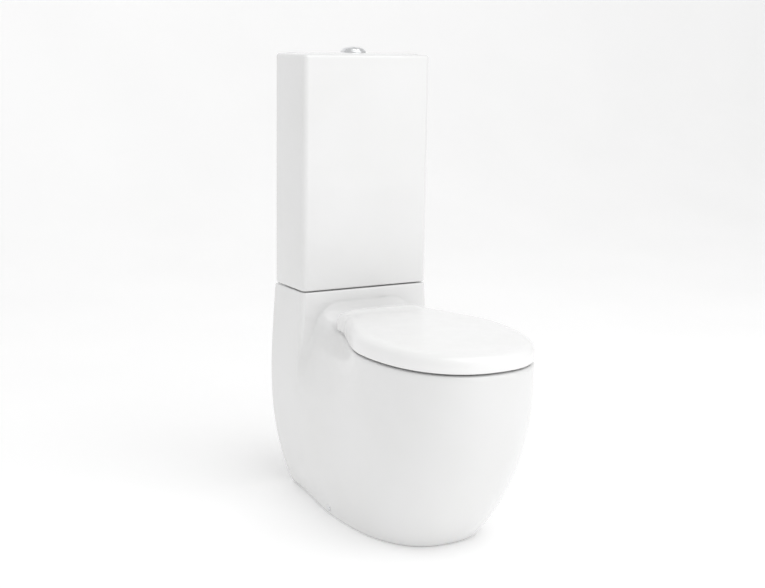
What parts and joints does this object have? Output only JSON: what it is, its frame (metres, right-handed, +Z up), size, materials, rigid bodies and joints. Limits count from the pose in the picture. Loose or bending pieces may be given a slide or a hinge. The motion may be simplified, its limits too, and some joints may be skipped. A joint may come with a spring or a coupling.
{
  "type": "close coupled toilet",
  "caption": "Tall slim close coupled toilet: skirted egg-shaped pan, box cistern on its rear shelf, domed dual-flush button, wrap-over soft-close seat and lid.",
  "frame": {"origin": "on the floor, on the centre line, halfway between the wall plane and the front of the bowl", "axes": "+Z up, the front faces -Y, the wall is at +Y, +X to the right seen from the front"},
  "size_m": [0.354, 0.695, 1.0385],
  "materials": {
    "ceramic": "gloss",
    "seat_plastic": "gloss",
    "chrome": "polished",
    "steel": "satin",
    "brass": "satin",
    "rubber": "matte",
    "white_plastic": "satin",
    "grey_plastic": "satin"
  },
  "bodies": {
    "root": {"pan": "ceramic", "floor_bracket_left": "grey_plastic", "floor_bracket_right": "grey_plastic", "side_screw_left": "steel", "side_screw_right": "steel", "side_cap_left": "chrome", "side_cap_right": "chrome", "cistern": "ceramic", "close_coupling_seal": "rubber", "cistern_bolt_washer_left": "rubber", "cistern_bolt_washer_right": "rubber", "cistern_bolt_left": "brass", "cistern_bolt_right": "brass", "coupling_washer_left": "rubber", "coupling_washer_right": "rubber", "cistern_wing_nut_left": "brass", "cistern_wing_nut_right": "brass", "flush_valve_base": "white_plastic", "flush_valve_gasket": "rubber", "flush_valve_backnut": "white_plastic", "flush_valve_cage": "white_plastic", "flush_valve_head": "white_plastic", "fill_valve_body": "white_plastic", "fill_valve_washer": "rubber", "fill_valve_backnut": "white_plastic", "hinge_gasket_left": "rubber", "hinge_gasket_right": "rubber", "hinge_post_left": "chrome", "hinge_post_right": "chrome", "hinge_bolt_left": "steel", "hinge_bolt_right": "steel", "hinge_wing_nut_left": "white_plastic", "hinge_wing_nut_right": "white_plastic", "hinge_pin_left": "steel", "hinge_pin_right": "steel"},
    "seat": {"seat_ring": "seat_plastic", "seat_damper": "grey_plastic", "seat_buffer_front_left": "white_plastic", "seat_buffer_front_right": "white_plastic", "seat_buffer_rear_left": "white_plastic", "seat_buffer_rear_right": "white_plastic"},
    "lid": {"lid": "seat_plastic", "lid_damper": "grey_plastic", "lid_buffer_left": "white_plastic", "lid_buffer_right": "white_plastic"},
    "cistern_cover": {"cistern_lid": "ceramic", "button_housing": "chrome", "button_nut": "white_plastic"},
    "full_button": {"full_flush_button": "chrome", "full_flush_rod": "white_plastic", "full_button_spring": "steel"},
    "half_button": {"half_flush_button": "chrome", "half_flush_rod": "white_plastic", "half_button_spring": "steel"},
    "flush_spindle": {"flush_valve_spindle": "grey_plastic", "flush_valve_seal": "rubber"},
    "flush_lever": {"flush_lever": "grey_plastic"},
    "half_latch": {"half_flush_latch": "grey_plastic"},
    "float": {"fill_valve_float": "grey_plastic"},
    "float_lever": {"fill_valve_lever": "white_plastic"}
  },
  "joints": [
    {"name": "seat_hinge", "type": "hinge", "parent": "root", "child": "seat", "pos_m": [0, 0.1225, 0.445], "axis": [-1, 0, 0], "range_deg": [0, 96]},
    {"name": "lid_hinge", "type": "hinge", "parent": "seat", "child": "lid", "pos_m": [0, 0.1225, 0.445], "axis": [1, 0, 0], "range_deg": [-96, 0]},
    {"name": "cistern_lid_lift", "type": "slide", "parent": "root", "child": "cistern_cover", "axis": [0, 0, 1], "range_m": [0, 0.32]},
    {"name": "full_flush_press", "type": "slide", "parent": "cistern_cover", "child": "full_button", "axis": [0, 0, -1], "range_m": [0, 0.007], "stiffness_N_per_m": 200, "springref_m": -0.02, "deforming": ["full_button_spring"]},
    {"name": "half_flush_press", "type": "slide", "parent": "cistern_cover", "child": "half_button", "axis": [0, 0, -1], "range_m": [0, 0.007], "stiffness_N_per_m": 200, "springref_m": -0.02, "deforming": ["half_button_spring"]},
    {"name": "float_rise", "type": "slide", "parent": "root", "child": "float", "axis": [0, 0, 1], "range_m": [0, 0.014]},
    {"name": "spindle_lift", "type": "slide", "parent": "root", "child": "flush_spindle", "axis": [0, 0, 1], "range_m": [0, 0.0056]},
    {"name": "flush_lever_turn", "type": "hinge", "parent": "root", "child": "flush_lever", "pos_m": [0.019, 0.2805, 0.74], "axis": [1, 0, 0], "range_deg": [0, 27]},
    {"name": "half_latch_slide", "type": "slide", "parent": "root", "child": "half_latch", "axis": [0, 0, -1], "range_m": [0, 0.007]},
    {"name": "float_lever_turn", "type": "hinge", "parent": "root", "child": "float_lever", "pos_m": [-0.112, 0.2835, 0.895], "axis": [-1, 0, 0], "range_deg": [0, 23]}
  ],
  "couplings": [
    {"joint": "spindle_lift", "follows": "full_flush_press", "ratio": 0.8},
    {"joint": "flush_lever_turn", "follows": "full_flush_press", "rad_per_m": 66},
    {"joint": "half_latch_slide", "follows": "half_flush_press", "ratio": 1},
    {"joint": "float_lever_turn", "follows": "float_rise", "rad_per_m": 28.5}
  ]
}
